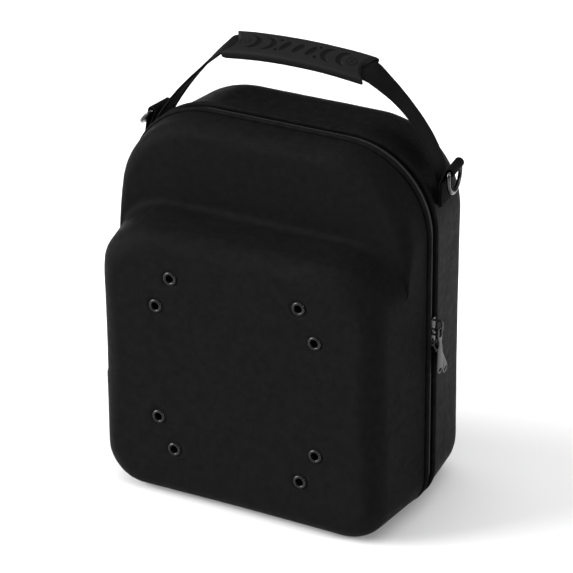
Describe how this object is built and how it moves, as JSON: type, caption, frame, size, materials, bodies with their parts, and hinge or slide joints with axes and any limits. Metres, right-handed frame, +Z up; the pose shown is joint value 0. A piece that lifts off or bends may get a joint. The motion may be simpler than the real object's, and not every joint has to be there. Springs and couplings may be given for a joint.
{
  "type": "baseball cap carrier case",
  "caption": "Hard moulded two-shell zip case for a stack of baseball caps, with vent eyelets, a webbing carry handle and side D rings.",
  "frame": {"origin": "midway between the case's side walls, in the zipper's plane, on the surface that the case stands on; 2 mm from the bounding box's bottom centre, because the left ring leans in", "axes": "+X across the width towards the zipper sliders, +Y from the front with the eyelets to the back, +Z up"},
  "size_m": [0.3, 0.1732, 0.3881],
  "materials": {
    "shell": "fine black fabric moulded over foam, matte",
    "welt": "black corded piping, slight sheen",
    "zipper": "black woven tape and nylon coil",
    "webbing": "black woven webbing",
    "rubber": "matte black moulded grip with relief",
    "black_metal": "black, semi gloss",
    "pull_metal": "gunmetal, satin"
  },
  "bodies": {
    "case": {"front_shell": "shell", "back_shell": "shell", "front_welt": "welt", "back_welt": "welt", "zipper_tape": "zipper", "zipper_chain": "zipper", "hinge_strip": "shell", "slider_upper": "black_metal", "slider_lower": "black_metal", "handle_strap": "webbing", "grip": "rubber", "ring_loop_left": "webbing", "ring_loop_right": "webbing", "eyelet_1": "black_metal", "eyelet_2": "black_metal", "eyelet_3": "black_metal", "eyelet_4": "black_metal", "eyelet_5": "black_metal", "eyelet_6": "black_metal", "eyelet_7": "black_metal", "eyelet_8": "black_metal"},
    "left_ring": {"d_ring_left": "black_metal"},
    "right_ring": {"d_ring_right": "black_metal"},
    "upper_pull": {"pull_upper": "pull_metal"},
    "lower_pull": {"pull_lower": "pull_metal"}
  },
  "joints": [
    {"name": "left_ring_swing", "type": "hinge", "parent": "case", "child": "left_ring", "pos_m": [-0.13139, 0.026, 0.3095], "axis": [0.1132, 0.9936, 0], "range_deg": [-0.5, 125]},
    {"name": "right_ring_swing", "type": "hinge", "parent": "case", "child": "right_ring", "pos_m": [0.14609, 0.026, 0.3095], "axis": [0.1132, -0.9936, 0], "range_deg": [-8, 170]},
    {"name": "upper_pull_swing", "type": "hinge", "parent": "case", "child": "upper_pull", "pos_m": [0.1474, 0, 0.1745], "axis": [0, -1, 0], "range_deg": [-1, 165]},
    {"name": "lower_pull_swing", "type": "hinge", "parent": "case", "child": "lower_pull", "pos_m": [0.1434, -0.0008, 0.1611], "axis": [0, -0.866, -0.5], "range_deg": [-0.5, 5]}
  ]
}
